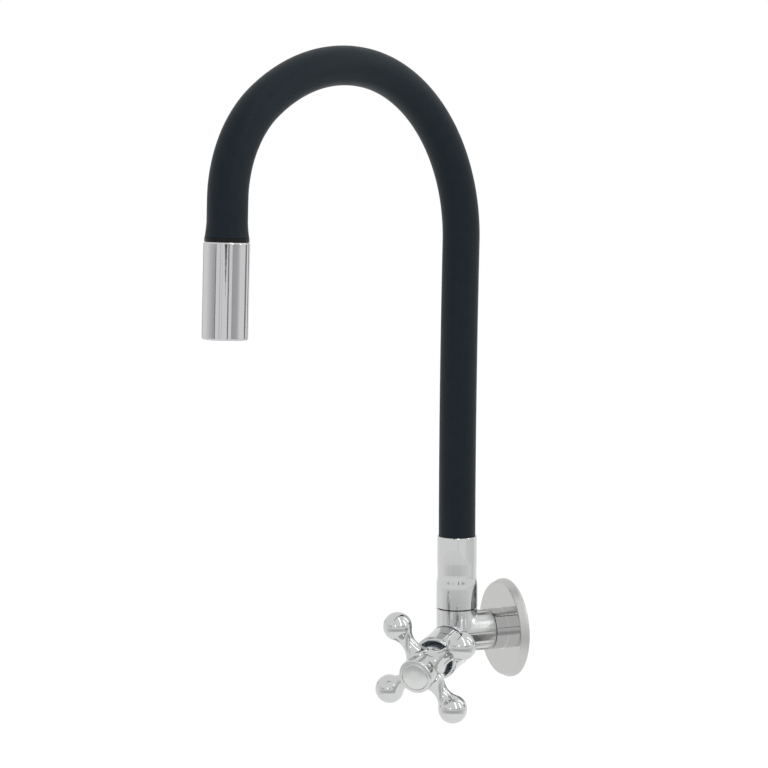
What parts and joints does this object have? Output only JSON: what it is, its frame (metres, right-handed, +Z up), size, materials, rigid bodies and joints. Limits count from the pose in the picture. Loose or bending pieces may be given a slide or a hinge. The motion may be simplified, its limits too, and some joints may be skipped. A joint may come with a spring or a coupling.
{
  "type": "flexible wall faucet",
  "caption": "Single wall tap with a cross handle and a black gooseneck hose spout that is bent by hand, ending in a plain chrome nozzle.",
  "frame": {"origin": "inlet axis where it meets the wall's face, at the flange's back rim", "axes": "+Y into the wall along the inlet thread, +Z up, +X to the side that the handle points to"},
  "size_m": [0.1122, 0.2095, 0.3568],
  "materials": {
    "chrome": "polished",
    "brass": "machined",
    "steel": "plain",
    "rubber": "matte",
    "silicone": "soft matte",
    "ceramic": "lapped",
    "plastic": "moulded"
  },
  "bodies": {
    "valve": {"valve_body": "chrome", "wall_flange": "chrome", "cartridge_housing": "brass", "bonnet_shroud": "chrome", "seat_seal": "rubber", "fixed_ceramic_disc": "ceramic", "bonnet_o_ring": "rubber"},
    "handle": {"cross_handle": "chrome", "index_cap": "chrome", "handle_screw": "steel", "spindle": "brass", "spindle_clip": "steel", "spindle_o_rings": "rubber", "moving_ceramic_disc": "ceramic"},
    "spout_base": {"spout_tail": "brass", "spout_o_rings": "rubber", "retaining_ring": "steel", "slide_washer": "plastic", "base_ferrule": "chrome", "base_crimp_ring": "steel", "gooseneck_core_1": "steel", "silicone_sleeve_1": "silicone", "water_hose_1": "rubber"},
    "hose_link_2": {"gooseneck_core_2": "steel", "silicone_sleeve_2": "silicone", "water_hose_2": "rubber"},
    "hose_link_3": {"gooseneck_core_3": "steel", "silicone_sleeve_3": "silicone", "water_hose_3": "rubber"},
    "hose_link_4": {"gooseneck_core_4": "steel", "silicone_sleeve_4": "silicone", "water_hose_4": "rubber"},
    "hose_link_5": {"gooseneck_core_5": "steel", "silicone_sleeve_5": "silicone", "water_hose_5": "rubber"},
    "hose_link_6": {"gooseneck_core_6": "steel", "silicone_sleeve_6": "silicone", "water_hose_6": "rubber"},
    "hose_link_7": {"gooseneck_core_7": "steel", "silicone_sleeve_7": "silicone", "water_hose_7": "rubber"},
    "hose_link_8": {"gooseneck_core_8": "steel", "silicone_sleeve_8": "silicone", "water_hose_8": "rubber"},
    "hose_link_9": {"gooseneck_core_9": "steel", "silicone_sleeve_9": "silicone", "water_hose_9": "rubber"},
    "nozzle": {"gooseneck_core_10": "steel", "silicone_sleeve_10": "silicone", "water_hose_10": "rubber", "nozzle_gasket": "rubber", "nozzle_shell": "chrome", "outlet_connector": "brass", "nozzle_crimp_ring": "steel", "aerator_insert": "plastic", "aerator_screen": "steel", "aerator_washer": "rubber"}
  },
  "joints": [
    {"name": "handle_turn", "type": "hinge", "parent": "valve", "child": "handle", "pos_m": [0, -0.031, -0.0042], "axis": [0.6387, -0.7504, -0.1702], "range_deg": [0, 90]},
    {"name": "spout_swivel", "type": "hinge", "parent": "valve", "child": "spout_base", "pos_m": [0, -0.031, 0], "axis": [0, 0, 1], "range_deg": [-110, 65]},
    {"name": "hose_bend_1", "type": "hinge", "parent": "spout_base", "child": "hose_link_2", "pos_m": [-0.00002, -0.03097, 0.0755], "axis": [0.9085, 0.4179, 0], "range_deg": [-12, 12], "deforming": ["silicone_sleeve_2", "water_hose_2", "silicone_sleeve_1", "water_hose_1"]},
    {"name": "hose_lean_2", "type": "hinge", "parent": "hose_link_2", "child": "hose_link_3", "pos_m": [-0.00021, -0.03055, 0.12552], "axis": [0.4178, -0.9084, 0.0144], "range_deg": [-15, 15], "deforming": ["silicone_sleeve_3", "water_hose_3"]},
    {"name": "hose_bend_3", "type": "hinge", "parent": "hose_link_3", "child": "hose_link_4", "pos_m": [-0.00062, -0.02966, 0.17554], "axis": [0.9085, 0.4179, 0], "range_deg": [-12, 12], "deforming": ["silicone_sleeve_4", "water_hose_4"]},
    {"name": "hose_bend_4", "type": "hinge", "parent": "hose_link_4", "child": "hose_link_5", "pos_m": [-0.00089, -0.02906, 0.22553], "axis": [0.9085, 0.4179, 0], "range_deg": [-20, 18], "deforming": ["silicone_sleeve_5", "water_hose_5"]},
    {"name": "hose_bend_5", "type": "hinge", "parent": "hose_link_5", "child": "hose_link_6", "pos_m": [0.00682, -0.04583, 0.27133], "axis": [0.9085, 0.4179, 0], "range_deg": [-30, 15], "deforming": ["silicone_sleeve_6", "water_hose_6"]},
    {"name": "hose_lean_6", "type": "hinge", "parent": "hose_link_6", "child": "hose_link_7", "pos_m": [0.02352, -0.08213, 0.30034], "axis": [0.1426, -0.3101, -0.94], "range_deg": [-25, 25], "deforming": ["silicone_sleeve_7", "water_hose_7"]},
    {"name": "hose_bend_7", "type": "hinge", "parent": "hose_link_7", "child": "hose_link_8", "pos_m": [0.04413, -0.12694, 0.30447], "axis": [0.9085, 0.4179, 0], "range_deg": [-28, 15], "deforming": ["silicone_sleeve_8", "water_hose_8"]},
    {"name": "hose_bend_8", "type": "hinge", "parent": "hose_link_8", "child": "hose_link_9", "pos_m": [0.06314, -0.16828, 0.28492], "axis": [0.9085, 0.4179, 0], "range_deg": [-40, 6], "deforming": ["silicone_sleeve_9", "water_hose_9"]},
    {"name": "hose_bend_9", "type": "hinge", "parent": "hose_link_9", "child": "nozzle", "pos_m": [0.07255, -0.18873, 0.24187], "axis": [0.9085, 0.4179, 0], "range_deg": [-21, 21], "deforming": ["silicone_sleeve_10", "water_hose_10"]}
  ]
}
